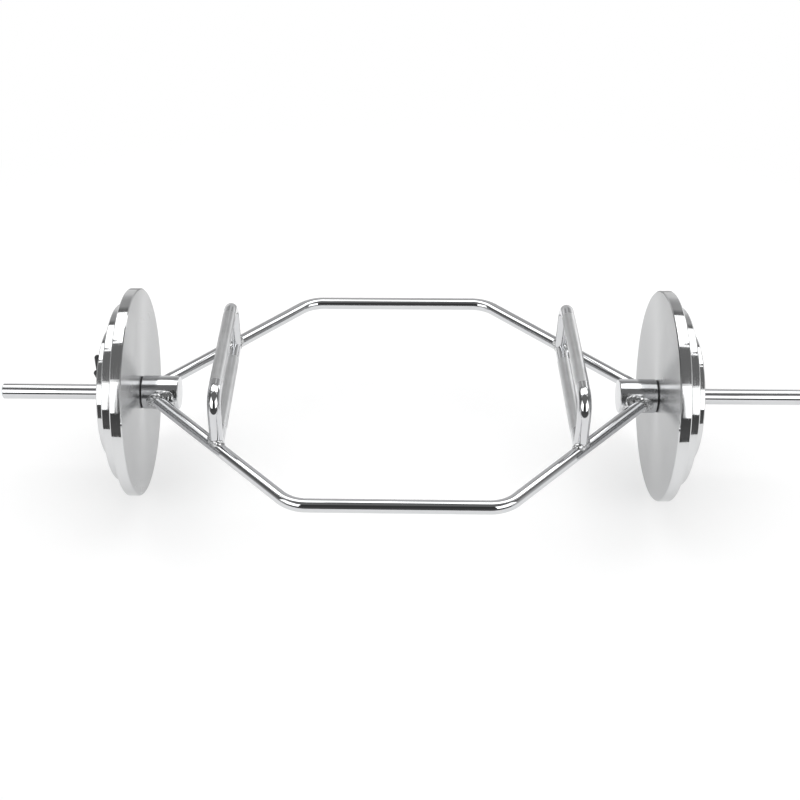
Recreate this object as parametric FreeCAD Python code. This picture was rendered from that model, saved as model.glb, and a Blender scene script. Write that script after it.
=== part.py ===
import FreeCAD, Part
import math
import os

from FreeCAD import Vector

# Hex trap bar with weight plates and spring collars, in millimetres.
# X runs along the sleeves, Y towards the rear, Z up from the floor under the large plates.

# Welded frame
overall_length = 1420.0
bar_diameter = 23.0
frame_depth = 604.0
cross_run_length = 342.0
apex_span = 902.0
frame_bend_radius = 60.0

# Hubs and sleeves
hub_diameter = 60.0
hub_inner_span = 780.0
hub_length = 65.5
hub_chamfer = 1.5
sleeve_diameter = 28.0
sleeve_seat_depth = 45.0
sleeve_chamfer = 2.0

# Handles
handle_spacing = 612.0
raised_height = 96.0
raised_bend_radius = 32.0
raised_leg_inset = 6.4
grip_length = 210.0
knurl_height = 0.4
knurl_chamfer = 0.4

# Weld beads
hub_weld_leg = 6.0
handle_weld_leg = 4.0

# Loose pieces on the sleeves
running_clearance = 0.3
stop_ring_diameter = 57.0
stop_ring_thickness = 2.0
large_plate_diameter = 372.0
large_plate_thickness = 20.0
medium_plate_diameter = 315.0
medium_plate_thickness = 20.0
small_plate_diameter = 232.0
small_plate_thickness = 18.0
plate_chamfer = 1.8
plate_bore_chamfer = 1.0

# Spring collars
collar_wire_diameter = 5.5
collar_pitch = 6.2
collar_full_turns = 2
collar_lever_angle = 20.0
collar_bend_radius = 7.0
collar_plate_gap = 0.3
lever_reach = 75.0
free_lever_lean = 9.0
lever_grip_diameter = 11.0
lever_grip_length = 40.0
lever_grip_end_wall = 3.0
lever_grip_end_round = 4.5
lever_grip_mouth_round = 1.0
left_collar_turn = 90.0
right_collar_turn = 270.0

# Every cut runs past what it cuts by this much.
cut_overrun = 5.0

axis_height = large_plate_diameter / 2
bar_radius = bar_diameter / 2
sleeve_radius = sleeve_diameter / 2
hub_radius = hub_diameter / 2
hub_inner_x = hub_inner_span / 2
hub_outer_x = hub_inner_x + hub_length
plate_start_x = hub_outer_x + stop_ring_thickness
medium_start_x = plate_start_x + large_plate_thickness
small_start_x = medium_start_x + medium_plate_thickness
stack_end_x = small_start_x + small_plate_thickness
sleeve_end_x = overall_length / 2
handle_x = handle_spacing / 2
slant_share = (apex_span / 2 - handle_x) / (apex_span / 2 - cross_run_length / 2)
handle_foot_y = frame_depth / 2 * slant_share
raised_leg_y = handle_foot_y - raised_leg_inset

os.makedirs("parts", exist_ok=True)


def at_axis(x, y, z=0):
    # A point given from the middle of the sleeve axis.
    return Vector(x, y, axis_height + z)


def half_turn(shape):
    # The same shape on the other side: turned about the upright line through the middle.
    turned_shape = shape.copy()
    turned_shape.rotate(Vector(0, 0, 0), Vector(0, 0, 1), 180)
    return turned_shape


def save(name, solids):
    shape = solids[0] if len(solids) == 1 else Part.makeCompound(solids)
    shape.exportStep("parts/" + name + ".step")
    volume = sum(solid.Volume for solid in solids)
    print(name, len(solids), "solid", shape.isValid(), round(volume / 1000, 1), "cm3")


def rounded_edges(points, radius):
    # Straight runs through the points, joined by tangent arcs of one radius.
    edges = []
    start = points[0]
    for before, corner, after in zip(points, points[1:], points[2:]):
        toward = (before - corner).normalize()
        onward = (after - corner).normalize()
        half_angle = toward.getAngle(onward) / 2
        reach = radius / math.tan(half_angle)
        inward = (toward + onward).normalize()
        first = corner + toward * reach
        last = corner + onward * reach
        middle = corner + inward * (radius / math.sin(half_angle) - radius)
        edges.append(Part.LineSegment(start, first).toShape())
        edges.append(Part.Arc(first, middle, last).toShape())
        start = last
    edges.append(Part.LineSegment(start, points[-1]).toShape())
    return edges


def swept_bar(edges, start, direction, diameter):
    section = Part.Wire(Part.makeCircle(diameter / 2, start, direction))
    return Part.Wire(edges).makePipeShell([section], True, False)


def rod(start, end, radius, overrun=0):
    # A straight round bar between two points, longer by the overrun at each end.
    direction = (end - start).normalize()
    length = start.distanceToPoint(end) + 2 * overrun
    return Part.makeCylinder(radius, length, start - direction * overrun, direction)


def turned(profile):
    # A profile of (distance along the sleeve axis, radius) points, turned about that axis.
    points = [at_axis(along, 0, radius) for along, radius in profile]
    face = Part.Face(Part.makePolygon(points + points[:1]))
    return face.revolve(at_axis(0, 0), Vector(1, 0, 0), 360)


def slant_ends(side, front):
    # Corner point and apex point of one slanting run.
    corner = at_axis(side * cross_run_length / 2, front * frame_depth / 2)
    apex = at_axis(side * apex_span / 2, 0)
    return corner, apex


hub_ends = (at_axis(hub_inner_x, 0), at_axis(hub_outer_x, 0))
flush_ends = (at_axis(handle_x, -handle_foot_y), at_axis(handle_x, handle_foot_y))


def front_frame_bar():
    left_corner, left_apex = slant_ends(-1, -1)
    right_corner, right_apex = slant_ends(1, -1)
    points = [left_apex, left_corner, right_corner, right_apex]
    edges = rounded_edges(points, frame_bend_radius)
    bar = swept_bar(edges, left_apex, left_corner - left_apex, bar_diameter)
    hub_envelope = rod(*hub_ends, hub_radius, cut_overrun)
    return bar.cut(hub_envelope).cut(half_turn(hub_envelope)).Solids[0]


def hub():
    bore_end_x = hub_outer_x - sleeve_seat_depth
    return turned([
        (hub_inner_x, 0),
        (hub_inner_x, hub_radius - hub_chamfer),
        (hub_inner_x + hub_chamfer, hub_radius),
        (hub_outer_x - hub_chamfer, hub_radius),
        (hub_outer_x, hub_radius - hub_chamfer),
        (hub_outer_x, sleeve_radius),
        (bore_end_x, sleeve_radius),
        (bore_end_x, 0),
    ])


def sleeve():
    seat_x = hub_outer_x - sleeve_seat_depth
    return turned([
        (seat_x, 0),
        (seat_x, sleeve_radius - sleeve_chamfer),
        (seat_x + sleeve_chamfer, sleeve_radius),
        (sleeve_end_x - sleeve_chamfer, sleeve_radius),
        (sleeve_end_x, sleeve_radius - sleeve_chamfer),
        (sleeve_end_x, 0),
    ])


def knurl_band(height):
    # The knurled part of a grip: a band that stands a little above the bar.
    radius = bar_radius + knurl_height
    start = at_axis(handle_x, -grip_length / 2, height)
    band = Part.makeCylinder(radius, grip_length, start, Vector(0, 1, 0))
    ends = [edge for edge in band.Edges if edge.isClosed()]
    return band.makeChamfer(knurl_chamfer, ends)


def cope_to_frame(handle):
    # The handle's ends are cut to the slanting runs that they stand on.
    for front in (-1, 1):
        handle = handle.cut(rod(*slant_ends(1, front), bar_radius))
    return handle


def raised_handle():
    # The legs stand a little inside the middle of the slanting runs.
    points = [
        at_axis(handle_x, -raised_leg_y),
        at_axis(handle_x, -raised_leg_y, raised_height),
        at_axis(handle_x, raised_leg_y, raised_height),
        at_axis(handle_x, raised_leg_y),
    ]
    edges = rounded_edges(points, raised_bend_radius)
    handle = swept_bar(edges, points[0], Vector(0, 0, 1), bar_diameter)
    handle = cope_to_frame(handle.fuse(knurl_band(raised_height)))
    handle = handle.cut(rod(*flush_ends, bar_radius))
    return max(handle.Solids, key=lambda solid: solid.Volume)


def flush_handle():
    handle = cope_to_frame(rod(*flush_ends, bar_radius).fuse(knurl_band(0)))
    return max(handle.Solids, key=lambda solid: solid.Volume)


def fillet_weld(member_start, member_end, host_start, host_end, host_radius, leg):
    # Weld metal lies close to both bars: inside both grown outlines and outside both bars.
    member = rod(member_start, member_end, bar_radius)
    grown_member = rod(member_start, member_end, bar_radius + leg)
    host = rod(host_start, host_end, host_radius)
    grown_host = rod(host_start, host_end, host_radius + leg)
    weld = grown_member.common(grown_host).cut(member).cut(host)
    return max(weld.Solids, key=lambda solid: solid.Volume)


def hub_weld(front):
    return fillet_weld(*slant_ends(1, front), *hub_ends, hub_radius, hub_weld_leg)


def handle_weld(front):
    slant = slant_ends(1, front)
    foot = at_axis(handle_x, front * handle_foot_y)
    leg_foot = at_axis(handle_x, front * raised_leg_y)
    leg_top = at_axis(handle_x, front * raised_leg_y, raised_height)
    middle = at_axis(handle_x, 0)
    weld = fillet_weld(leg_foot, leg_top, *slant, bar_radius, handle_weld_leg)
    weld = weld.fuse(fillet_weld(foot, middle, *slant, bar_radius, handle_weld_leg))
    for start, end in ((leg_foot, leg_top), (foot, middle), slant):
        weld = weld.cut(rod(start, end, bar_radius))
    return max(weld.Solids, key=lambda solid: solid.Volume)


def stop_ring():
    outer = stop_ring_diameter / 2
    inner = sleeve_radius + running_clearance
    return turned([
        (hub_outer_x, inner),
        (hub_outer_x, outer),
        (plate_start_x, outer),
        (plate_start_x, inner),
    ])


def plate(start_x, diameter, thickness):
    outer = diameter / 2
    inner = sleeve_radius + running_clearance
    end_x = start_x + thickness
    return turned([
        (start_x, inner + plate_bore_chamfer),
        (start_x, outer - plate_chamfer),
        (start_x + plate_chamfer, outer),
        (end_x - plate_chamfer, outer),
        (end_x, outer - plate_chamfer),
        (end_x, inner + plate_bore_chamfer),
        (end_x - plate_bore_chamfer, inner),
        (start_x + plate_bore_chamfer, inner),
    ])


def arc_between(start, tangent, end, reach):
    # The arc from start along its tangent to end, with the tangents meeting at the given reach.
    meeting = start + tangent * reach
    middle_chord = (start + end) / 2
    half_chord = start.distanceToPoint(end) / 2
    rise = half_chord * math.tan(math.acos(half_chord / reach) / 2)
    middle = middle_chord + (meeting - middle_chord).normalize() * rise
    return Part.Arc(start, middle, end)


def biarc(start, start_tangent, end, end_tangent):
    # Two tangent arcs that join two points and their directions.
    chord = end - start
    tangents = start_tangent + end_tangent
    spread = 2 * (1 - start_tangent.dot(end_tangent))
    along = chord.dot(tangents)
    reach = (math.sqrt(along ** 2 + spread * chord.dot(chord)) - along) / spread
    joint = (start + start_tangent * reach + end - end_tangent * reach) / 2
    joint_tangent = (joint - start - start_tangent * reach).normalize()
    first = arc_between(start, start_tangent, joint, reach)
    second = arc_between(joint, joint_tangent, end, reach)
    return [first, second]


coil_radius = sleeve_radius + running_clearance + collar_wire_diameter / 2
coil_turn = 360.0 * collar_full_turns + collar_lever_angle
coil_advance = collar_pitch * coil_turn / 360.0
coil_inner_x = stack_end_x + collar_plate_gap + collar_wire_diameter / 2
quarter_turns = 4 * collar_full_turns + 1
gap_points = 12


def coil_state(share):
    # Point, direction and outward direction on the left coil's helix.
    # It runs from its outer end towards the plates, at 0, to its plate end, at 1.
    angle = math.radians(coil_turn * share)
    outward = Vector(0, math.cos(angle), math.sin(angle))
    around = Vector(0, -math.sin(angle), math.cos(angle))
    x = -coil_inner_x - coil_advance * (1 - share)
    rise = coil_advance / (math.radians(coil_turn) * coil_radius)
    direction = (around + Vector(rise, 0, 0)).normalize()
    return at_axis(x, 0) + outward * coil_radius, direction, outward


def lever_line(share, lean):
    # Where a lever leaves the coil: the bend's start, its corner point and the lever's direction.
    point, direction, outward = coil_state(share)
    leaving = direction if share > 0 else direction * -1
    tilt = math.radians(lean)
    lever = outward * math.cos(tilt) + Vector(-math.sin(tilt), 0, 0)
    half_angle = (leaving * -1).getAngle(lever) / 2
    reach = collar_bend_radius / math.tan(half_angle)
    corner = point + leaving * reach
    coil_end = corner + lever * (reach + collar_wire_diameter)
    bend_end = corner + lever * reach
    still_to_go = lever_reach - (coil_end - at_axis(coil_end.x, 0)).dot(outward)
    tip = coil_end + lever * (still_to_go / lever.dot(outward))
    return point, leaving, reach, bend_end, coil_end, lever, tip


fixed_line = lever_line(0, 0)
free_line = lever_line(1, free_lever_lean)


def coil_curves():
    # Quarter-turn biarcs of the helix between the two outward bends, each with a straight end.
    point, leaving, reach, bend_end, coil_end, lever, tip = fixed_line
    curves = [Part.LineSegment(coil_end, bend_end), arc_between(bend_end, lever * -1, point, reach)]
    for step in range(quarter_turns):
        start, start_direction, outward = coil_state(step / quarter_turns)
        end, end_direction, outward = coil_state((step + 1) / quarter_turns)
        curves += biarc(start, start_direction, end, end_direction)
    point, leaving, reach, bend_end, coil_end, lever, tip = free_line
    curves += [arc_between(point, leaving, bend_end, reach), Part.LineSegment(bend_end, coil_end)]
    return curves


def least_coil_gap(curves):
    # Least clear distance between stretches of the wire that are over half a turn apart.
    points = []
    for curve in curves:
        points += curve.toShape().discretize(gap_points)[:-1]
    travelled = [0]
    for before, after in zip(points, points[1:]):
        travelled.append(travelled[-1] + before.distanceToPoint(after))
    apart = math.pi * coil_radius
    gaps = [
        points[i].distanceToPoint(points[j])
        for i in range(len(points))
        for j in range(i)
        if travelled[i] - travelled[j] > apart
    ]
    return min(gaps) - collar_wire_diameter


def collar_coil():
    curves = coil_curves()
    start = curves[0].StartPoint
    direction = curves[0].EndPoint - start
    print("least gap between coil turns", round(least_coil_gap(curves), 2), "mm")
    return swept_bar([curve.toShape() for curve in curves], start, direction, collar_wire_diameter)


def lever_arm(line):
    coil_end, lever, tip = line[4:]
    return rod(coil_end, tip - lever * lever_grip_end_wall, collar_wire_diameter / 2)


def lever_grip(line):
    coil_end, lever, tip = line[4:]
    mouth = tip - lever * lever_grip_length
    grip = rod(mouth, tip, lever_grip_diameter / 2)
    for end, round_radius in ((tip, lever_grip_end_round), (mouth, lever_grip_mouth_round)):
        rims = [edge for edge in grip.Edges if edge.isClosed()]
        rim = min(rims, key=lambda edge: edge.CenterOfMass.distanceToPoint(end))
        grip = grip.makeFillet(round_radius, [rim])
    return grip.cut(lever_arm(line)).Solids[0]


def on_sleeve(shape, turn):
    # The collar part turned about the sleeve's axis.
    turned_shape = shape.copy()
    turned_shape.rotate(at_axis(0, 0), Vector(1, 0, 0), turn)
    return turned_shape


front_bar = front_frame_bar()
save("front_frame_bar", [front_bar])
save("rear_frame_bar", [half_turn(front_bar)])

right_parts = {
    "hub": [hub()],
    "sleeve": [sleeve()],
    "raised_handle": [raised_handle()],
    "flush_handle": [flush_handle()],
    "hub_welds": [hub_weld(front) for front in (-1, 1)],
    "handle_welds": [handle_weld(front) for front in (-1, 1)],
    "stop_ring": [stop_ring()],
    "large_plate": [plate(plate_start_x, large_plate_diameter, large_plate_thickness)],
    "medium_plate": [plate(medium_start_x, medium_plate_diameter, medium_plate_thickness)],
    "small_plate": [plate(small_start_x, small_plate_diameter, small_plate_thickness)],
}
for part_name, solids in right_parts.items():
    save("right_" + part_name, solids)
    save("left_" + part_name, [half_turn(solid) for solid in solids])

left_collar_parts = {
    "collar_coil": collar_coil(),
    "collar_fixed_arm": lever_arm(fixed_line),
    "collar_fixed_grip": lever_grip(fixed_line),
    "collar_free_arm": lever_arm(free_line),
    "collar_free_grip": lever_grip(free_line),
}
for part_name, solid in left_collar_parts.items():
    save("left_" + part_name, [on_sleeve(solid, left_collar_turn)])
    save("right_" + part_name, [half_turn(on_sleeve(solid, right_collar_turn))])
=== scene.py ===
import bmesh
import bpy
import numpy as np
from mathutils import Matrix


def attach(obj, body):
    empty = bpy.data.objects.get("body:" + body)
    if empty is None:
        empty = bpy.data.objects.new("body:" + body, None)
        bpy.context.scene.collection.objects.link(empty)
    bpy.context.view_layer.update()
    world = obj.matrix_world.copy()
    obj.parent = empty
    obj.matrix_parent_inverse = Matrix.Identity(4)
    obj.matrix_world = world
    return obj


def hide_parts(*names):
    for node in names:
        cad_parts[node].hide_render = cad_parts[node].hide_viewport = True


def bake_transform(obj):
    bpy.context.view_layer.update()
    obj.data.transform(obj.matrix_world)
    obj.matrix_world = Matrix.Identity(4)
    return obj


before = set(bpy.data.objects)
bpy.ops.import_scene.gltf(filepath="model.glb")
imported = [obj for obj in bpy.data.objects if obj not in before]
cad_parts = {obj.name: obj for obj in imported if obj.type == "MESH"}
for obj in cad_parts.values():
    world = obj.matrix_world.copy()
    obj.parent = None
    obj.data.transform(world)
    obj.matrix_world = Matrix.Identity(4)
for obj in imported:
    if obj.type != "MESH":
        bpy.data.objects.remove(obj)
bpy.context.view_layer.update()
print("frame loaded:", len(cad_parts), "nodes")

mm = 0.001
sleeveAxis = np.array([0.0, 0.0, 186.0]) * mm    # a point on the line that both sleeves lie on
alongX = np.array([1.0, 0.0, 0.0])
upright = np.array([0.0, 0.0, 1.0])
flipX = np.array([-1.0, 1.0, 1.0])
flipY = np.array([1.0, -1.0, 1.0])
sides = {"left": -1.0, "right": 1.0}


# small helpers for surfaces

def unit(v):
    return v / np.linalg.norm(v, axis=-1, keepdims=True)


def halfTurn(points):
    return points * flipX * flipY    # turned about the upright through the middle of the bar


def onSide(points, sign):
    # a shape built on the right stays there, or goes to the left by a half-turn
    return points if sign > 0 else halfTurn(points)


def turnAboutSleeve(points, degrees):
    # y and z are turned about the sleeve axis, x stays
    a = np.radians(degrees)
    y, z = points[..., 1], points[..., 2] - sleeveAxis[2]
    return np.stack([points[..., 0], y * np.cos(a) - z * np.sin(a),
                     y * np.sin(a) + z * np.cos(a) + sleeveAxis[2]], -1)


def softCorners(corners, radius, steps):
    # a polyline whose inner corners are replaced by tangent arcs of one radius
    corners = np.asarray(corners, float)
    line = [corners[0]]
    for before, corner, after in zip(corners, corners[1:], corners[2:]):
        back, on = unit(before - corner), unit(after - corner)
        half = np.arccos(np.clip(back @ on, -1, 1)) / 2
        centre = corner + unit(back + on) * radius / np.sin(half)
        first = corner + back * radius / np.tan(half) - centre
        last = corner + on * radius / np.tan(half) - centre
        sweep = np.pi - 2 * half
        t = np.linspace(0, 1, steps)[:, None]
        line += list(centre + (np.sin((1 - t) * sweep) * first + np.sin(t * sweep) * last) / np.sin(sweep))
    line.append(corners[-1])
    return np.array(line)


def resample(line, spacing):
    # extra points on the long straight runs, none on the arcs
    out = []
    for a, b in zip(line, line[1:]):
        n = max(1, int(np.linalg.norm(b - a) / spacing))
        out.append(a + (b - a) * np.arange(n)[:, None] / n)
    return np.vstack(out + [line[-1:]])


def tubeGrid(line, reference, radius, around):
    # a circle of the given radius carried along the line; radius may be a table over (line, around)
    tangent = unit(np.gradient(line, axis=0))
    across = unit(np.cross(tangent, reference))
    above = np.cross(across, tangent)
    a = np.linspace(0, 2 * np.pi, around, endpoint=False)
    ring = np.cos(a)[None, :, None] * across[:, None] + np.sin(a)[None, :, None] * above[:, None]
    return line[:, None] + ring * np.broadcast_to(radius, (len(line), around))[..., None]


def turnedGrid(profile, around):
    # a profile of (x, radius) turned about the sleeve axis
    profile = np.asarray(profile, float)
    a = np.linspace(0, 2 * np.pi, around, endpoint=False)
    x = np.repeat(profile[:, :1], around, 1)
    return np.stack([x, profile[:, 1:] * np.cos(a), profile[:, 1:] * np.sin(a)], -1) + sleeveAxis


mend = {"double": 1e-7, "flat": 1e-8}    # points and edges closer than this are joined


def gridPiece(name, grid, closedLine=False, capEnds=True, sharpAngle=None, marks=None):
    # quads between neighbouring rows and columns; open ends get a fan to their middle
    rows, cols = grid.shape[:2]
    index = np.arange(rows * cols).reshape(rows, cols)
    index = np.hstack([index, index[:, :1]])
    if closedLine:
        index = np.vstack([index, index[:1]])
    quads = np.stack([index[:-1, :-1], index[1:, :-1], index[1:, 1:], index[:-1, 1:]], -1).reshape(-1, 4)
    points = grid.reshape(-1, 3)
    fans = np.zeros((0, 3), int)
    if capEnds and not closedLine:
        first, last = index[0], index[-1]
        ends = np.array([grid[0].mean(0), grid[-1].mean(0)])
        fans = np.vstack([
            np.stack([np.full(cols, len(points)), first[:-1], first[1:]], -1),
            np.stack([np.full(cols, len(points) + 1), last[1:], last[:-1]], -1)])
        points = np.vstack([points, ends])
    split = np.vstack([quads[:, [0, 1, 2]], quads[:, [0, 2, 3]], fans])
    corners = points[split] - points.mean(0)
    if np.einsum("ij,ij->", corners[:, 0], np.cross(corners[:, 1], corners[:, 2])) < 0:
        quads, fans = quads[:, ::-1], fans[:, ::-1]    # signed volume says the faces point inwards
    mesh = bpy.data.meshes.new(name)
    mesh.vertices.add(len(points))
    mesh.vertices.foreach_set("co", points.astype(np.float32).ravel())
    mesh.loops.add(quads.size + fans.size)
    mesh.loops.foreach_set("vertex_index", np.concatenate([quads.ravel(), fans.ravel()]).astype(np.int32))
    mesh.polygons.add(len(quads) + len(fans))
    starts = np.concatenate([np.arange(len(quads)) * 4, quads.size + np.arange(len(fans)) * 3])
    mesh.polygons.foreach_set("loop_start", starts.astype(np.int32))
    mesh.update(calc_edges=True)
    for markName, values in (marks or {}).items():
        full = np.zeros(len(points), np.float32)
        full[:rows * cols] = np.broadcast_to(values, (rows, cols)).ravel()
        mesh.attributes.new(markName, "FLOAT", "POINT").data.foreach_set("value", full)
    work = bmesh.new()
    work.from_mesh(mesh)
    bmesh.ops.remove_doubles(work, verts=work.verts, dist=mend["double"])    # closes poles
    bmesh.ops.dissolve_degenerate(work, edges=work.edges, dist=mend["flat"])
    work.to_mesh(mesh)
    work.free()
    mesh.polygons.foreach_set("use_smooth", np.ones(len(mesh.polygons), bool))
    if sharpAngle:
        mesh.set_sharp_from_angle(angle=np.radians(sharpAngle))
    piece = bpy.data.objects.new(name, mesh)
    bpy.context.scene.collection.objects.link(piece)
    return piece


def dress(piece, material, slot, body, *nodes):
    piece.data.materials.append(material)
    if nodes:
        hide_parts(*nodes)
    if body:
        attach(piece, body)
    return piece


# materials: node trees, read from Object coordinates and the pieces' own marks
# in the tables of looks a noise is (scale, detail, roughness), a bump is (strength, height),
# and a span holds the two noise levels that a pair of values is spread between

def emptyMaterial(name):
    material = bpy.data.materials.new(name)
    material.use_nodes = True
    tree = material.node_tree
    tree.nodes.clear()
    out = tree.nodes.new("ShaderNodeOutputMaterial")
    shader = tree.nodes.new("ShaderNodeBsdfPrincipled")
    tree.links.new(shader.outputs[0], out.inputs[0])
    return material, tree, shader


def node(tree, kind, settings=None, **inputs):
    # an input is named, or given by its place as i0, i1 and so on
    made = tree.nodes.new("ShaderNode" + kind)
    for key, value in (settings or {}).items():
        setattr(made, key, value)
    for key, value in inputs.items():
        socket = made.inputs[int(key[1:])] if key[0] == "i" and key[1:].isdigit() else made.inputs[key]
        if isinstance(value, bpy.types.NodeSocket):
            tree.links.new(value, socket)
        else:
            socket.default_value = value
    return made


def noise(tree, vector, scale, detail, roughness=0.5):
    return node(tree, "TexNoise", Vector=vector, Scale=scale, Detail=detail, Roughness=roughness).outputs[0]


def remap(tree, value, low, high, toLow, toHigh):
    return node(tree, "MapRange", i0=value, i1=low, i2=high, i3=toLow, i4=toHigh).outputs[0]


def blendColour(tree, share, first, second):
    return node(tree, "Mix", {"data_type": "RGBA"}, i0=share, i6=(*first, 1), i7=(*second, 1)).outputs[2]


def eitherValue(tree, share, first, second):
    return node(tree, "Mix", {"data_type": "FLOAT"}, i0=share, i2=first, i3=second).outputs[0]


def markOf(tree, name):
    return node(tree, "Attribute", {"attribute_name": name}).outputs["Fac"]


def objectPoint(tree):
    return node(tree, "TexCoord").outputs["Object"]


def bumpFrom(tree, height, strength, distance):
    return node(tree, "Bump", Height=height, Strength=strength, Distance=distance).outputs[0]


chromeLook = {"dark": (0.625, 0.632, 0.645), "light": (0.68, 0.685, 0.695),
              "gloss": (0.03, 0.075), "hubGloss": (0.09, 0.15), "smudge": (22.0, 5.0, 0.6), "smudgeSpan": (0.35, 0.7),
              "wave": (55.0, 1.0), "waveBump": (0.04, 1.0 * mm)}


def chromeLayers(tree, point, shader, gloss):
    # smudges vary colour and shine, and polishing leaves faint waves
    smudge = noise(tree, point, *chromeLook["smudge"])
    colour = blendColour(tree, smudge, chromeLook["dark"], chromeLook["light"])
    shine = remap(tree, smudge, *chromeLook["smudgeSpan"], *gloss)
    wave = noise(tree, point, *chromeLook["wave"])
    tree.links.new(bumpFrom(tree, wave, *chromeLook["waveBump"]), shader.inputs["Normal"])
    shader.inputs["Metallic"].default_value = 1.0
    return smudge, colour, shine


def polishedChrome(name, gloss):
    material, tree, shader = emptyMaterial(name)
    _, colour, shine = chromeLayers(tree, objectPoint(tree), shader, gloss)
    tree.links.new(colour, shader.inputs["Base Color"])
    tree.links.new(shine, shader.inputs["Roughness"])
    return material


knurlLook = {"dark": (0.56, 0.565, 0.57), "light": (0.71, 0.715, 0.72), "grain": (60.0, 4.0),
             "matt": (0.28, 0.36), "mattSpan": (0.3, 0.7)}


def knurledChrome():
    # polished where the knurl mark is 0, matt where it is 1
    material, tree, shader = emptyMaterial("knurledChrome")
    point = objectPoint(tree)
    mark = markOf(tree, "knurl")
    smudge, bright, shine = chromeLayers(tree, point, shader, chromeLook["gloss"])
    grey = blendColour(tree, noise(tree, point, *knurlLook["grain"]), knurlLook["dark"], knurlLook["light"])
    colour = node(tree, "Mix", {"data_type": "RGBA"}, i0=mark, i6=bright, i7=grey).outputs[2]
    matt = remap(tree, smudge, *knurlLook["mattSpan"], *knurlLook["matt"])
    tree.links.new(colour, shader.inputs["Base Color"])
    tree.links.new(eitherValue(tree, mark, shine, matt), shader.inputs["Roughness"])
    return material


plateLook = {"faceDark": (0.53, 0.535, 0.54), "faceLight": (0.625, 0.63, 0.635), "rim": (0.67, 0.675, 0.68),
             "rings": (900.0, 6.0, 0.7), "ringBump": (0.06, 0.2 * mm),
             "broad": (9.0, 4.0, 0.6), "broadSpan": (0.3, 0.7), "faceShine": (0.22, 0.28),
             "lines": (700.0, 2.0), "lineSpan": (0.42, 0.72), "rimShine": (0.03, 0.20),
             "anisotropy": 0.95, "quarterTurn": 0.25, "edgeTint": (0.84, 0.84, 0.84)}


def turnedSteel():
    # fine rings left by the lathe: noise over (distance from the axis, x), so rings on faces and lines round rims
    look = plateLook
    material, tree, shader = emptyMaterial("turnedSteel")
    point = objectPoint(tree)
    parts = node(tree, "SeparateXYZ", i0=point)
    up = node(tree, "Math", {"operation": "SUBTRACT"}, i0=parts.outputs[2], i1=float(sleeveAxis[2])).outputs[0]
    flat = node(tree, "CombineXYZ", i0=0.0, i1=parts.outputs[1], i2=up).outputs[0]
    out = node(tree, "VectorMath", {"operation": "LENGTH"}, i0=flat).outputs["Value"]
    ringPoint = node(tree, "CombineXYZ", i0=out, i1=parts.outputs[0], i2=0.0).outputs[0]
    rimMark = markOf(tree, "rim")
    rings = noise(tree, ringPoint, *look["rings"])
    face = blendColour(tree, rings, look["faceDark"], look["faceLight"])
    colour = node(tree, "Mix", {"data_type": "RGBA"}, i0=rimMark, i6=face, i7=(*look["rim"], 1)).outputs[2]
    tree.links.new(colour, shader.inputs["Base Color"])
    satin = remap(tree, noise(tree, point, *look["broad"]), *look["broadSpan"], *look["faceShine"])
    lines = noise(tree, ringPoint, *look["lines"])
    polish = remap(tree, lines, *look["lineSpan"], *look["rimShine"])    # some turned lines are duller than others
    tree.links.new(eitherValue(tree, rimMark, satin, polish), shader.inputs["Roughness"])
    tree.links.new(bumpFrom(tree, rings, *look["ringBump"]), shader.inputs["Normal"])
    around = node(tree, "Tangent", {"direction_type": "RADIAL", "axis": "X"}).outputs[0]
    tree.links.new(around, shader.inputs["Tangent"])
    shader.inputs["Specular Tint"].default_value = (*look["edgeTint"], 1)    # steel mirrors less at a glancing angle
    shader.inputs["Anisotropic"].default_value = look["anisotropy"]
    shader.inputs["Anisotropic Rotation"].default_value = look["quarterTurn"]
    shader.inputs["Metallic"].default_value = 1.0
    return material


weldLook = {"dark": (0.30, 0.305, 0.31), "light": (0.74, 0.745, 0.75), "patch": (260.0, 5.0, 0.65),
            "colourSpan": (0.35, 0.6), "shine": (0.34, 0.08), "shineSpan": (0.35, 0.65),
            "grit": (700.0, 3.0), "gritBump": (0.25, 0.4 * mm), "metallic": 1.0}
wireLook = {"dark": (0.56, 0.57, 0.58), "light": (0.68, 0.685, 0.69), "patch": (150.0, 4.0, 0.6),
            "colourSpan": (0.0, 1.0), "shine": (0.10, 0.22), "shineSpan": (0.3, 0.7),
            "grit": (800.0, 2.0), "gritBump": (0.05, 0.3 * mm), "metallic": 1.0}
# near-black levels with a little shine and grit, for the thin ring between each hub and its large plate
ringBlackLook = {"dark": (0.005, 0.005, 0.0055), "light": (0.011, 0.011, 0.012), "patch": (40.0, 5.0, 0.6),
              "colourSpan": (0.0, 1.0), "shine": (0.55, 0.75), "shineSpan": (0.3, 0.7),
              "grit": (500.0, 3.0), "gritBump": (0.15, 0.4 * mm), "metallic": 0.0}
vinylLook = {"dark": (0.012, 0.012, 0.013), "light": (0.024, 0.024, 0.026), "patch": (40.0, 5.0, 0.6),
             "colourSpan": (0.0, 1.0), "shine": (0.30, 0.46), "shineSpan": (0.3, 0.7),
             "grit": (900.0, 3.0), "gritBump": (0.08, 0.4 * mm), "metallic": 0.0}


def patchy(name, look):
    # one noise gives patches of colour and shine, a finer one the bump
    material, tree, shader = emptyMaterial(name)
    point = objectPoint(tree)
    patch = noise(tree, point, *look["patch"])
    share = remap(tree, patch, *look["colourSpan"], 0.0, 1.0)
    grit = noise(tree, point, *look["grit"])
    tree.links.new(blendColour(tree, share, look["dark"], look["light"]), shader.inputs["Base Color"])
    tree.links.new(remap(tree, patch, *look["shineSpan"], *look["shine"]), shader.inputs["Roughness"])
    tree.links.new(bumpFrom(tree, grit, *look["gritBump"]), shader.inputs["Normal"])
    shader.inputs["Metallic"].default_value = look["metallic"]
    return material


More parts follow.
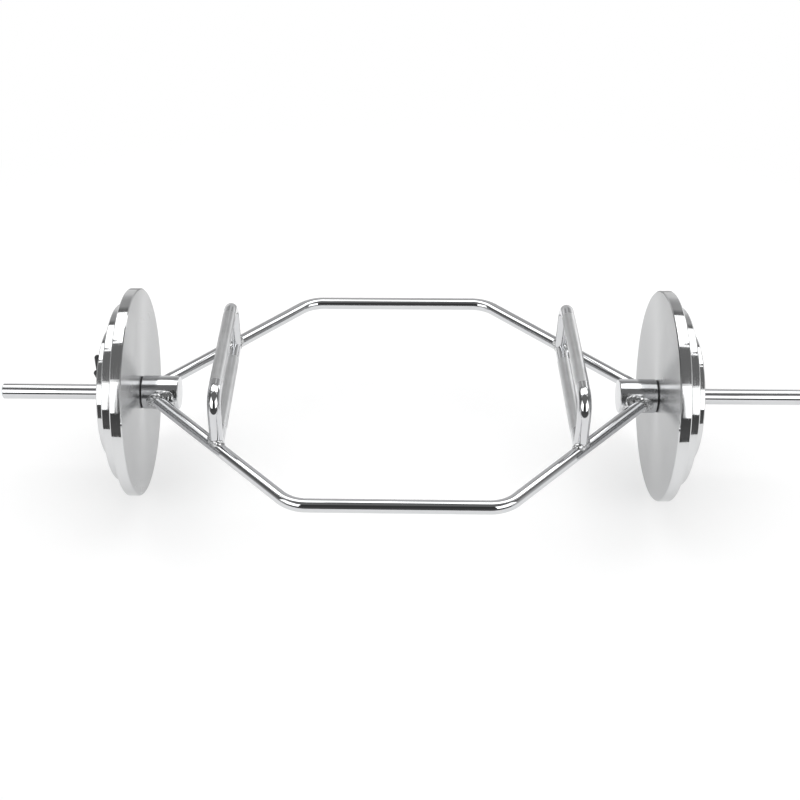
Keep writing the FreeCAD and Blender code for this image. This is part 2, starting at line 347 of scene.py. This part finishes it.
chrome = polishedChrome("polishedChrome", chromeLook["gloss"])
hubChrome = polishedChrome("hubChrome", chromeLook["hubGloss"])
knurled = knurledChrome()
steel = turnedSteel()
weld = patchy("weldMetal", weldLook)
wire = patchy("springWire", wireLook)
ringBlack = patchy("nearBlackRing", ringBlackLook)
vinyl = patchy("blackVinyl", vinylLook)
print("materials made")


# frame bars: a round bar along a line with two bends, its ends sunk into the hubs

bar = {"radius": 11.5 * mm, "crossHalf": 171 * mm, "depthHalf": 302 * mm, "apexX": 451 * mm, "bend": 60 * mm,
       "bendRows": 28, "spacing": 15 * mm, "around": 96, "endInside": 20 * mm}
apex = np.array([bar["apexX"], 0, 0])
slant = unit(np.array([bar["apexX"] - bar["crossHalf"], bar["depthHalf"], 0.0]))    # front right run, towards the hub


def frameBar(name, mirrored):
    end = apex - slant * bar["endInside"]
    corner = np.array([bar["crossHalf"], -bar["depthHalf"], 0])
    line = softCorners([end * flipX, corner * flipX, corner, end], bar["bend"], bar["bendRows"])
    line = resample(line, bar["spacing"]) + sleeveAxis
    grid = tubeGrid(line, upright, bar["radius"], bar["around"])
    return gridPiece(name, halfTurn(grid) if mirrored else grid)


dress(frameBar("frontBar", False), chrome, "polished_chrome", "frame", "front_frame_bar")
dress(frameBar("rearBar", True), chrome, "polished_chrome", "frame", "rear_frame_bar")
print("frame bars made")


# hubs and sleeves: profiles of (x, radius) turned about the sleeve axis

def softProfile(corners, radius, steps=7):
    flat = [(x, r, 0.0) for x, r in corners]
    return softCorners(flat, radius, steps)[:, :2]


hub = {"innerX": 390 * mm, "outerX": 455.5 * mm, "radius": 30 * mm, "chamfer": 1.5 * mm, "edge": 0.7 * mm,
       "boreX": 410.5 * mm, "around": 160, "sharp": 50}
sleeve = {"radius": 14 * mm, "endX": 710 * mm, "chamfer": 2 * mm, "edge": 0.6 * mm, "around": 128, "sharp": 50}


def hubGrid():
    x0, x1, r, c = hub["innerX"], hub["outerX"], hub["radius"], hub["chamfer"]
    bore = sleeve["radius"]
    return turnedGrid(softProfile([
        (x0, 0), (x0, r - c), (x0 + c, r), (x1 - c, r), (x1, r - c), (x1, bore), (hub["boreX"], bore),
        (hub["boreX"], 0)], hub["edge"]), hub["around"])


def sleeveGrid():
    x0, x1, r, c = hub["boreX"], sleeve["endX"], sleeve["radius"], sleeve["chamfer"]
    return turnedGrid(softProfile([
        (x0, 0), (x0, r - c), (x0 + c, r), (x1 - c, r), (x1, r - c), (x1, 0)], sleeve["edge"]), sleeve["around"])


for side, sign in sides.items():
    for name, grid, material, sizes in (("Hub", hubGrid(), hubChrome, hub), ("Sleeve", sleeveGrid(), chrome, sleeve)):
        piece = gridPiece(side + name, onSide(grid, sign), capEnds=False, sharpAngle=sizes["sharp"])
        dress(piece, material, "polished_chrome", "frame", side + "_" + name.lower())
print("hubs and sleeves made")


# handles: a round bar whose middle carries a diamond knurl
# knurl height over (around, along) is the lower of two slanting triangle waves, one for each direction of cut

handle = {"x": 306 * mm, "raise": 96 * mm, "bend": 32 * mm, "bendRows": 40, "spacing": 8 * mm, "legInset": 6.4 * mm,
          "endRows": 8, "around": 160, "gripHalf": 105 * mm, "gripBand": 0.5 * mm, "rowsPerKnurl": 4,
          "knurlDepth": 0.24 * mm, "knurlSunk": 0.4, "knurlStarts": 40, "knurlPitch": 1.8 * mm, "knurlFade": 0.6 * mm}
handle["footY"] = bar["depthHalf"] * (bar["apexX"] - handle["x"]) / (bar["apexX"] - bar["crossHalf"])
handle["legY"] = handle["footY"] - handle["legInset"]    # the legs stand a little inside the middle of the runs


def triangleWave(phase):
    return 1 - np.abs(2 * (phase - np.floor(phase)) - 1)


def knurlTable(line, height):
    # rows at the grip's height carry the knurl, which fades out at the grip's ends
    a = np.linspace(0, 1, handle["around"], endpoint=False)[None] * handle["knurlStarts"]
    along = (line[:, 1] / handle["knurlPitch"])[:, None]
    level = np.abs(line[:, 2] - sleeveAxis[2] - height) < handle["gripBand"]
    fade = np.clip((handle["gripHalf"] - np.abs(line[:, 1])) / handle["knurlFade"], 0, 1) * level
    bumps = np.minimum(triangleWave(a + along), triangleWave(a - along))
    rise = (bumps - handle["knurlSunk"]) * handle["knurlDepth"]
    return bar["radius"] + rise * fade[:, None], fade[:, None]


def gripLine(before, after, height):
    rows = int(2 * handle["rowsPerKnurl"] * handle["gripHalf"] / handle["knurlPitch"])
    y = np.linspace(-1, 1, rows) * (handle["gripHalf"] + handle["knurlFade"])
    middle = np.stack([np.full(rows, handle["x"]), y, np.full(rows, height)], -1)
    return np.vstack([before, middle, after])


def handleGrid(half, height):
    # half runs from the front foot to the front end of the grip, and the rear half mirrors it
    line = gripLine(half, half[::-1] * flipY, height) + sleeveAxis
    radius, mark = knurlTable(line, height)
    return tubeGrid(line, alongX, radius, handle["around"]), mark


def raisedGrid():
    x, foot, top = handle["x"], handle["legY"], handle["raise"]
    corners = [(x, -foot, 0), (x, -foot, top), (x, -handle["gripHalf"], top)]
    half = resample(softCorners(corners, handle["bend"], handle["bendRows"]), handle["spacing"])[:-1]
    return handleGrid(half[half[:, 1] < -handle["gripHalf"] - handle["knurlFade"]], top)


def flushGrid():
    rows = handle["endRows"]
    y = np.linspace(-handle["footY"], -handle["gripHalf"] - 2 * handle["knurlFade"], rows)
    return handleGrid(np.stack([np.full(rows, handle["x"]), y, np.zeros(rows)], -1), 0.0)


for side, sign in sides.items():
    for name, (grid, mark) in (("Raised", raisedGrid()), ("Flush", flushGrid())):
        piece = gridPiece(side + name + "Handle", onSide(grid, sign), marks={"knurl": mark})
        dress(piece, knurled, "polished_chrome", "frame", side + "_" + name.lower() + "_handle")
print("handles made, knurl depth", handle["knurlDepth"])


# weld beads: fillets that run round the seam between two round bars, with their toes on both walls
# seam on a bar: for each angle around the bar, the distance along it where it meets the other bar's wall
# bead face: a bulged curve from the toe on the bar to the toe on the host, its legs swelling with lumps and ripples

hubBead = {"barLeg": 8.5 * mm, "hostLeg": 6.0 * mm, "hostLegAlong": 8.5 * mm, "hostLegIn": 7.0 * mm,
           "bulge": 1.7 * mm, "ripples": 17, "ripple": 0.6 * mm, "lump": 0.34, "steps": 300, "seed": 11,
           "limits": (390.4 * mm, 454.9 * mm)}    # x that the bead keeps between, so that it stays on the hub
footBead = {"barLeg": 6.4 * mm, "hostLeg": 4.4 * mm, "hostLegAlong": 2.5 * mm, "hostLegIn": 0.0,
            "bulge": 1.2 * mm, "ripples": 13, "ripple": 0.45 * mm, "lump": 0.28, "steps": 220, "seed": 31,
            "limits": (0.0, 1.0), "hostSwell": 1.02}
bead = {"rows": 15, "barSink": 0.15 * mm, "hostSink": 0.2 * mm, "swell": 0.8, "fullness": 0.8, "bow": 6.4,
        "coreIn": 2.5 * mm, "coreBack": 1.0 * mm, "lumpCounts": (2, 3, 5, 8), "lumpLow": 0.4, "lumpPhase": 6.3}


def seam(origin, direction, over, host, radius, steps):
    # points of the bar's wall, moved along its axis until they lie on the host's wall
    centre, along, hostRadius = host
    a = np.linspace(0, 2 * np.pi, steps, endpoint=False)[:, None]
    first = unit(np.cross(direction, over))
    second = np.cross(first, direction)
    wall = origin + radius * (np.cos(a) * first + np.sin(a) * second)
    offset = wall - centre
    offset = offset - (offset @ along)[:, None] * along
    back = -direction + (direction @ along) * along
    qa, qb = back @ back, offset @ back
    qc = (offset * offset).sum(1) - hostRadius ** 2
    reach = (-qb + np.sqrt(np.maximum(qb ** 2 - qa * qc, 0))) / qa    # the larger root of the quadratic
    return wall - reach[:, None] * direction, unit(wall - origin)


def onHost(points, centre, along, radius):
    offset = points - centre
    level = (offset @ along)[..., None] * along
    return centre + level + unit(offset - level) * radius


def beadGrid(root, outward, direction, host, sizes, seed):
    centre, along, hostRadius = host
    dice = np.random.default_rng(seed)
    a = np.linspace(0, 2 * np.pi, len(root), endpoint=False)[:, None]

    def lumps():
        return sum(dice.uniform(bead["lumpLow"], 1) * np.sin(k * a + dice.uniform(0, bead["lumpPhase"])) / np.sqrt(k)
                   for k in bead["lumpCounts"]) / 2

    barLeg = sizes["barLeg"] * (1 + sizes["lump"] * lumps())
    barToe = root - direction * barLeg - outward * bead["barSink"]
    lengthwise = (outward @ along)[:, None]    # legs are longer along the host, most of all towards its inner end
    hostLeg = (sizes["hostLeg"] + sizes["hostLegAlong"] * np.abs(lengthwise)
               + sizes["hostLegIn"] * np.maximum(-lengthwise, 0))
    hostToe = root + outward * hostLeg * (1 + sizes["lump"] * lumps())
    hostToe = onHost(hostToe, centre, along, hostRadius - bead["hostSink"])
    swell = sizes["bulge"] * (1 + bead["swell"] * lumps())
    t = np.linspace(0, 1, bead["rows"])[None, :, None]
    chevron = np.abs(np.sin(sizes["ripples"] * a[:, :, None] / 2 + bead["bow"] * (t - 0.5) ** 2))
    rise = (swell[:, None] + sizes["ripple"] * (chevron - 0.5)) * np.sin(np.pi * t) ** bead["fullness"]
    face = barToe[:, None] * (1 - t) + hostToe[:, None] * t
    face = face + unit((barToe + hostToe) / 2 - root)[:, None] * rise
    core = root - outward * bead["coreIn"] + direction * bead["coreBack"]
    grid = np.concatenate([face, core[:, None]], 1)
    grid[..., 0] = np.clip(grid[..., 0], *sizes["limits"])
    return grid


hubHost = (sleeveAxis, alongX, hub["radius"])
otherEnd = {"Front": "Rear", "Rear": "Front"}
for side, sign in sides.items():
    for builtEnd, front in (("Front", -1.0), ("Rear", 1.0)):
        end = builtEnd if sign > 0 else otherEnd[builtEnd]    # the half-turn swaps them
        run = slant * np.array([1.0, -front, 1.0])
        root, outward = seam(apex + sleeveAxis, run, upright, hubHost, bar["radius"], hubBead["steps"])
        grid = beadGrid(root, outward, run, hubHost, hubBead, hubBead["seed"] + int(front))
        piece = gridPiece(side + end + "HubWeld", onSide(grid, sign), closedLine=True)
        dress(piece, weld, "weld_bead", "frame", side + "_hub_welds")
        foot = np.array([handle["x"], front * handle["footY"], 0]) + sleeveAxis
        legFoot = np.array([handle["x"], front * handle["legY"], 0]) + sleeveAxis
        footHost = (foot, run, bar["radius"] * footBead["hostSwell"])
        for name, start, direction, over in (("RaisedFootWeld", legFoot, -upright, run),
                                             ("FlushFootWeld", foot, np.array([0, front, 0.0]), upright)):
            root, outward = seam(start, direction, over, footHost, bar["radius"], footBead["steps"])
            seed = footBead["seed"] + int(front) + len(name)
            grid = beadGrid(root, outward, direction, footHost, footBead, seed)
            piece = gridPiece(side + end + name, onSide(grid, sign), closedLine=True)
            dress(piece, weld, "weld_bead", "frame", side + "_handle_welds")
print("weld beads made")


# plates and stop rings: closed profiles turned about the sleeve axis

plates = {"large": {"x": 457.5 * mm, "radius": 186.0 * mm, "thick": 20.0 * mm},
          "medium": {"x": 477.5 * mm, "radius": 157.5 * mm, "thick": 20.0 * mm},
          "small": {"x": 497.5 * mm, "radius": 116.0 * mm, "thick": 18.0 * mm}}
plate = {"bore": 14.3 * mm, "chamfer": 1.8 * mm, "edge": 0.5 * mm, "boreChamfer": 1.0 * mm, "gap": 0.06 * mm,
         "rimChamfers": 1.05, "rimFade": 0.1 * mm, "around": 256, "sharp": 60}


def plateGrid(sizes):
    # the rim mark is 1 from the chamfer outwards
    x0, x1 = sizes["x"] + plate["gap"], sizes["x"] + sizes["thick"] - plate["gap"]
    r, b, c, k = sizes["radius"], plate["bore"], plate["chamfer"], plate["boreChamfer"]
    loop = [(x0, (r + b) / 2), (x0, r - c), (x0 + c, r), (x1 - c, r), (x1, r - c), (x1, b + k), (x1 - k, b),
            (x0 + k, b), (x0, b + k), (x0, (r + b) / 2)]
    profile = softProfile(loop, plate["edge"])[:-1]
    rim = np.clip((profile[:, 1] - (r - c * plate["rimChamfers"])) / plate["rimFade"], 0, 1)
    return turnedGrid(profile, plate["around"]), rim[:, None]


ring = {"x": 455.5 * mm, "thick": 2.0 * mm, "radius": 28.5 * mm, "bore": 14.3 * mm, "edge": 0.45 * mm,
        "around": 128, "sharp": 60}


def ringGrid():
    x0, x1 = ring["x"] + plate["gap"], ring["x"] + ring["thick"] - plate["gap"]
    r, b = ring["radius"], ring["bore"]
    loop = [(x0, (r + b) / 2), (x0, r), (x1, r), (x1, b), (x0, b), (x0, (r + b) / 2)]
    return turnedGrid(softProfile(loop, ring["edge"])[:-1], ring["around"])


for side, sign in sides.items():
    for size, sizes in plates.items():
        grid, rim = plateGrid(sizes)
        piece = gridPiece(side + size.capitalize() + "Plate", onSide(grid, sign), closedLine=True,
                          sharpAngle=plate["sharp"], marks={"rim": rim})
        dress(piece, steel, "plate_steel", side + "_" + size, side + "_" + size + "_plate")
    piece = gridPiece(side + "StopRing", onSide(ringGrid(), sign), closedLine=True, sharpAngle=ring["sharp"])
    dress(piece, ringBlack, "black_rubber", side + "_ring", side + "_stop_ring")
print("plates and rings made")


# spring collars: a helix with an outward bend at each end, straight levers and dipped grips

collar = {"wire": 5.5 * mm, "around": 32, "pitch": 6.2 * mm, "turn": 740.0, "coilRadius": 17.05 * mm, "coilRows": 260,
          "plateX": 518.55 * mm, "blendPast": 2.4 * mm, "bend": 7.0 * mm, "bendRows": 18, "lean": 9.0,
          "reach": 75 * mm, "armRows": 8, "endWall": 3 * mm, "nearby": 1e-5, "turned": {"left": 90.0, "right": 270.0}}
collar["advance"] = collar["pitch"] * collar["turn"] / 360


def coilPoint(share):
    # the wire's middle line: angle grows with share, x runs from the outer end to the plate
    share = np.asarray(share, float)
    a = np.radians(collar["turn"]) * share
    x = -collar["plateX"] - collar["advance"] * (1 - share)
    return np.stack([x, collar["coilRadius"] * np.cos(a), collar["coilRadius"] * np.sin(a)], -1) + sleeveAxis


def leverEnd(share, lean):
    # the bend is an arc from the coil's direction to the lever's, then a straight of one wire
    point = coilPoint(share)
    leaving = unit(point - coilPoint(share - collar["nearby"] if share else collar["nearby"]))
    out = unit((point - sleeveAxis) * (1 - alongX))
    lever = out * np.cos(np.radians(lean)) - alongX * np.sin(np.radians(lean))
    normal = unit(lever - (lever @ leaving) * leaving)
    b = np.linspace(0, np.arccos(lever @ leaving), collar["bendRows"])[:, None]
    arc = point + collar["bend"] * (np.sin(b) * leaving + (1 - np.cos(b)) * normal)
    end = arc[-1] + lever * collar["wire"]
    tip = end + lever * (collar["reach"] - (end - sleeveAxis) @ out) / (lever @ out)
    return np.vstack([arc[1:], (arc[-1] + end) / 2, end]), end, lever, tip


def armGrid(start, end):
    line = start + (end - start) * np.linspace(0, 1, collar["armRows"])[:, None]
    return tubeGrid(line, alongX, collar["wire"] / 2, collar["around"])


grip = {"length": 40 * mm, "radius": 5.5 * mm, "around": 48, "mouthRows": (0, 0.004, 0.012, 0.025, 0.05, 0.08),
        "middle": (0.12, 0.84, 14), "tipShare": 0.14, "tipRows": (0.15, np.pi / 2, 16), "mouthRound": 0.025,
        "slim": 0.93, "lip": 0.72}


def quarterRound(share):
    return np.sqrt(1 - (1 - np.clip(share, 0, 1)) ** 2)


def gripGrid(mouth, tip, lever):
    # radius along the grip: a rolled mouth, a slight swell, a round closed end
    tipRows = 1 - grip["tipShare"] * (1 - np.sin(np.linspace(*grip["tipRows"])))
    t = np.concatenate([grip["mouthRows"], np.linspace(*grip["middle"]), tipRows])
    length = np.linalg.norm(tip - mouth)
    swell = grip["slim"] + (1 - grip["slim"]) * np.sin(np.pi * t)
    dome = quarterRound((1 - t) * length / grip["radius"])
    lip = grip["lip"] + (1 - grip["lip"]) * quarterRound(t / grip["mouthRound"])
    line = mouth + lever * (t * length)[:, None]
    return tubeGrid(line, alongX, (grip["radius"] * swell * dome * lip)[:, None], grip["around"])


def placeCollar(points, side, sign):
    # collars are built on the left, and each has its own turn round the sleeve
    return onSide(turnAboutSleeve(points, collar["turned"][side]), -sign)


fixedBend, fixedEnd, fixedLever, fixedTip = leverEnd(0.0, 0.0)
freeBend, freeEnd, freeLever, freeTip = leverEnd(1.0, collar["lean"])
wireLine = np.vstack([fixedBend[::-1], coilPoint(np.linspace(0, 1, collar["coilRows"])), freeBend])
coilTube = tubeGrid(wireLine, alongX, collar["wire"] / 2, collar["around"])
for side, sign in sides.items():
    coil = gridPiece(side + "Coil", placeCollar(coilTube, side, sign))
    dress(coil, wire, "spring_wire", None, side + "_collar_coil")
    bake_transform(coil)
    for name, end, lever, tip, body in (("Fixed", fixedEnd, fixedLever, fixedTip, "_collar"),
                                        ("Free", freeEnd, freeLever, freeTip, "_lever")):
        arm = armGrid(end, tip - lever * collar["endWall"])
        hold = gripGrid(tip - lever * grip["length"], tip, lever)
        dress(gridPiece(side + name + "Arm", placeCollar(arm, side, sign)), wire, "spring_wire", side + body,
              side + "_collar_" + name.lower() + "_arm")
        dress(gridPiece(side + name + "Grip", placeCollar(hold, side, sign)), vinyl, "black_vinyl", side + body,
              side + "_collar_" + name.lower() + "_grip")
print("collars made")


# stage: pale floor, grey studio walls and flags out of view, softboxes
# a band of grey levels is (axis, low, high, levels), with the levels spread evenly from low to high
# a level card is given by its x, y and height, an upright one by the line it stands over and its heights

axisX, axisY, axisZ = 0, 1, 2
wide = (-4, 4)
stage = {"floorHalf": 14.0, "floorColour": 0.80, "seenGlow": 0.46, "seenShade": 0.60, "openFloor": (0.75, 1.7),
         "world": (0.45, 1.0)}
greys = {"flag": 0.18, "middleFlag": 0.45, "rightPanel": 1.8, "middleWall": 0.60, "rearFloor": 0.5}
bands = {"cameraFlag": (axisZ, 0, 2.3, (0.10, 0.05, 0.05)),
         "rearUp": (axisZ, 0.3, 3.1, (0.94, 0.89, 0.60, 0.46, 0.43, 0.42, 0.20, 0.16)),
         "rearAcross": (axisX, -2.8, 2.8, (0.70, 0.72, 0.95, 0.62, 0.62, 0.95, 1.25, 1.25)),
         "frontFloor": (axisY, -2.35, -1.12, (0.10, 0.09, 0.08)),
         "leftWall": (axisZ, 0, 2.4, (0.55, 0.24, 0.11, 0.12)),
         "rightWall": (axisZ, 0, 2.4, (0.66, 0.46, 0.27, 0.15))}
levelCards = {"ceilingFlag": {"x": wide, "y": (-2.4, 0.02), "z": 2.95},
              "middleFlag": {"x": (-0.75, 0.75), "y": (1.2, 2.0), "z": 2.22},
              "frontMiddleFlag": {"x": (-0.22, 0.22), "y": (-0.12, 0.05), "z": 2.24},
              "rearFloor": {"x": (-0.85, 0.85), "y": (0.75, 2.54), "z": 0.002},
              "frontFloor": {"x": wide, "y": (-2.35, -1.12), "z": 0.002}}
uprightCards = {"rearWall": {"start": (-4, 2.6), "end": (4, 2.6), "z": (0, 3.4)},
                "rightPanel": {"start": (1.9, 2.45), "end": (2.9, 2.3), "z": (0.15, 2.1)},
                "middleWall": {"start": (-0.5, 2.55), "end": (0.5, 2.55), "z": (0, 2.7)},
                "leftWall": {"start": (-3.3, -2.4), "end": (-3.3, 2.6), "z": (0, 2.9)},
                "rightWall": {"start": (3.3, -2.4), "end": (3.3, 2.6), "z": (0, 2.9)},
                "cameraFlag": {"start": (-0.98, -2.3), "end": (0.98, -2.3), "z": (0, 2.95)},
                "lowFlag": {"start": (-4, -2.35), "end": (4, -2.35), "z": (0, 0.8)}}
cornerFlag = {"inX": 0.9, "outX": 2.4, "frontY": 0.0, "inRearY": 0.05, "outRearY": 0.6, "z": 2.24}


def seenBy(tree, *kinds):
    path = node(tree, "LightPath")
    share = path.outputs[kinds[0]]
    for kind in kinds[1:]:
        share = node(tree, "Math", {"operation": "MAXIMUM"}, i0=share, i1=path.outputs[kind]).outputs[0]
    return share


def bareOutput(name):
    material, tree, shader = emptyMaterial(name)
    tree.nodes.remove(shader)
    return material, tree, next(n for n in tree.nodes if n.type == "OUTPUT_MATERIAL")


def glow(tree, strength):
    return node(tree, "Emission", Color=(1, 1, 1, 1), Strength=strength).outputs[0]


def matt(tree, level):
    return node(tree, "BsdfDiffuse", Color=(level, level, level, 1)).outputs[0]


def floorMaterial():
    # white to the eye and in metal, less the object's shadow near it; pale for the soft light it throws back
    material, tree, out = bareOutput("paleFloor")
    near = node(tree, "AddShader", i0=matt(tree, stage["seenShade"]), i1=glow(tree, stage["seenGlow"])).outputs[0]
    fromMiddle = node(tree, "VectorMath", {"operation": "LENGTH"}, i0=objectPoint(tree)).outputs["Value"]
    share = node(tree, "MapRange", {"interpolation_type": "SMOOTHSTEP"}, i0=fromMiddle, i1=stage["openFloor"][0],
                 i2=stage["openFloor"][1], i3=0.0, i4=1.0).outputs[0]
    seen = node(tree, "MixShader", i0=share, i1=near, i2=glow(tree, 1.0)).outputs[0]
    white = seenBy(tree, "Is Camera Ray", "Is Glossy Ray", "Is Transmission Ray")
    either = node(tree, "MixShader", i0=white, i1=matt(tree, stage["floorColour"]), i2=seen).outputs[0]
    tree.links.new(either, out.inputs[0])
    return material


def levelsAlong(tree, axis, low, high, levels):
    place = node(tree, "SeparateXYZ", i0=objectPoint(tree)).outputs[axis]
    ramp = node(tree, "ValToRGB", i0=remap(tree, place, low, high, 0.0, 1.0))
    steps = ramp.color_ramp.elements
    steps.remove(steps[1])
    for i, value in enumerate(levels):
        step = steps.new(i / (len(levels) - 1)) if i else steps[0]
        step.color = (value, value, value, 1)
    return ramp.outputs[0]


def cardMaterial(name, *bands):
    # bands of grey levels multiply each other
    material, tree, out = bareOutput(name)
    made = [levelsAlong(tree, *band) for band in bands]
    strength = made[0]
    for other in made[1:]:
        strength = node(tree, "Math", {"operation": "MULTIPLY"}, i0=strength, i1=other).outputs[0]
    tree.links.new(glow(tree, strength), out.inputs[0])
    return material


def plainCard(name):
    return cardMaterial(name, (axisX, *wide, (greys[name], greys[name])))


def levelCorners(x, y, z):
    return [(x[0], y[0], z), (x[1], y[0], z), (x[1], y[1], z), (x[0], y[1], z)]


def uprightCorners(start, end, z):
    return [(*start, z[0]), (*end, z[0]), (*end, z[1]), (*start, z[1])]


def cornerFlagCorners(sign):
    # wider towards the side wall
    inX, outX, z = sign * cornerFlag["inX"], sign * cornerFlag["outX"], cornerFlag["z"]
    return [(inX, cornerFlag["frontY"], z), (outX, cornerFlag["frontY"], z),
            (outX, cornerFlag["outRearY"], z), (inX, cornerFlag["inRearY"], z)]


def panel(name, corners, material, seen=False):
    mesh = bpy.data.meshes.new(name)
    mesh.from_pydata(corners, [], [(0, 1, 2, 3)])
    mesh.materials.append(material)
    made = bpy.data.objects.new(name, mesh)
    made.visible_camera = seen
    made.visible_diffuse = seen
    made.visible_shadow = seen
    bpy.context.scene.collection.objects.link(made)


def levelPanel(name, material):
    panel(name, levelCorners(**levelCards[name]), material)


def uprightPanel(name, material):
    panel(name, uprightCorners(**uprightCards[name]), material)


floorSpan = (-stage["floorHalf"], stage["floorHalf"])
dark = plainCard("flag")
nearCamera = cardMaterial("cameraFlag", bands["cameraFlag"])
rearWall = cardMaterial("rearWall", bands["rearUp"], bands["rearAcross"])
frontFloor = cardMaterial("frontFloor", bands["frontFloor"])
panel("floor", levelCorners(floorSpan, floorSpan, 0), floorMaterial(), True)
levelPanel("ceilingFlag", dark)
levelPanel("middleFlag", plainCard("middleFlag"))
levelPanel("frontMiddleFlag", dark)
uprightPanel("rearWall", rearWall)
uprightPanel("rightPanel", plainCard("rightPanel"))
uprightPanel("middleWall", plainCard("middleWall"))
for side, sign in sides.items():
    uprightPanel(side + "Wall", cardMaterial(side + "Wall", bands[side + "Wall"]))
    panel(side + "CornerFlag", cornerFlagCorners(sign), dark)
uprightPanel("cameraFlag", nearCamera)
uprightPanel("lowFlag", nearCamera)
levelPanel("rearFloor", plainCard("rearFloor"))
levelPanel("frontFloor", frontFloor)

softboxes = {"Overhead": {"at": (0, 0.83, 2.25), "aim": (0, 0.83, 0), "size": (4.3, 1.82), "radiance": 1.6},
             "Front": {"at": (1.30, -2.25, 1.65), "aim": (1.30, 0, 1.65), "size": (0.64, 1.8), "radiance": 1.65},
             "Side": {"at": (2.05, -1.60, 1.83), "aim": (0.57, -0.57, 1.83), "size": (1.56, 2.0), "radiance": 1.65}}
steep = 0.9    # a softbox that looks down more than this is turned by the rear, not by the upright
rearward = np.array([0.0, 1.0, 0.001])


def poseMatrix(right, above, back, position):
    turn = np.stack([right, above, back], 1)
    return Matrix([[*turn[i], position[i]] for i in range(3)] + [[0, 0, 0, 1]])


def softbox(name, box, sign):
    width, height = box["size"]
    light = bpy.data.lights.new(name, "AREA")
    light.shape = "RECTANGLE"
    light.size, light.size_y = width, height
    light.energy = box["radiance"] * np.pi * width * height    # a flat lamp of this radiance
    made = bpy.data.objects.new(name, light)
    mirror = alongX * (sign - 1) + 1
    position, aim = np.array(box["at"], float) * mirror, np.array(box["aim"], float) * mirror
    away = unit(position - aim)
    right = unit(np.cross(rearward if abs(away[2]) > steep else upright, away))
    made.matrix_world = poseMatrix(right, np.cross(away, right), away, position)
    made.visible_camera = False
    bpy.context.scene.collection.objects.link(made)


softbox("overheadSoftbox", softboxes["Overhead"], 1.0)
for side, sign in sides.items():
    for place in ("Front", "Side"):
        softbox(side + place + "Softbox", softboxes[place], sign)

world = bpy.data.worlds.new("studio")
world.use_nodes = True
bpy.context.scene.world = world
tree = world.node_tree
background = next(n for n in tree.nodes if n.type == "BACKGROUND")
background.inputs["Color"].default_value = (1, 1, 1, 1)
white = seenBy(tree, "Is Camera Ray", "Is Glossy Ray", "Is Transmission Ray")
tree.links.new(remap(tree, white, 0.0, 1.0, *stage["world"]), background.inputs["Strength"])
bpy.context.scene.view_settings.view_transform = "Standard"
print("stage and light made")


# camera: the photograph's viewpoint, 800 by 800; centre is the pixel where the lens axis meets the picture

view = {"focalPixels": 1250.74, "distance": 2233.08 * mm, "elevation": 36.2727, "offsetX": -17.18 * mm,
        "roll": -1.0126, "yaw": -2.4852, "centre": (343.71, 393.73), "pixels": 800, "sensor": 36.0, "far": 100.0}


def placeCamera():
    e, yaw, roll = np.radians(view["elevation"]), np.radians(view["yaw"]), np.radians(view["roll"])
    eye = np.array([view["offsetX"], -view["distance"] * np.cos(e), view["distance"] * np.sin(e)]) + sleeveAxis
    ahead = np.array([np.sin(yaw) * np.cos(e), np.cos(yaw) * np.cos(e), -np.sin(e)])
    right = unit(np.cross(ahead, upright))
    above = np.cross(right, ahead)
    right, above = np.cos(roll) * right + np.sin(roll) * above, np.cos(roll) * above - np.sin(roll) * right
    data = bpy.data.cameras.new("camera")
    data.sensor_width = view["sensor"]
    data.lens = view["focalPixels"] / view["pixels"] * view["sensor"]
    # a pixel's middle lies half a pixel in, and the shift is counted from the middle of the picture
    data.shift_x = 0.5 - (view["centre"][0] + 0.5) / view["pixels"]
    data.shift_y = (view["centre"][1] + 0.5) / view["pixels"] - 0.5
    data.clip_end = view["far"]
    made = bpy.data.objects.new("camera", data)
    made.matrix_world = poseMatrix(right, above, -ahead, eye)
    bpy.context.scene.collection.objects.link(made)
    bpy.context.scene.camera = made


placeCamera()
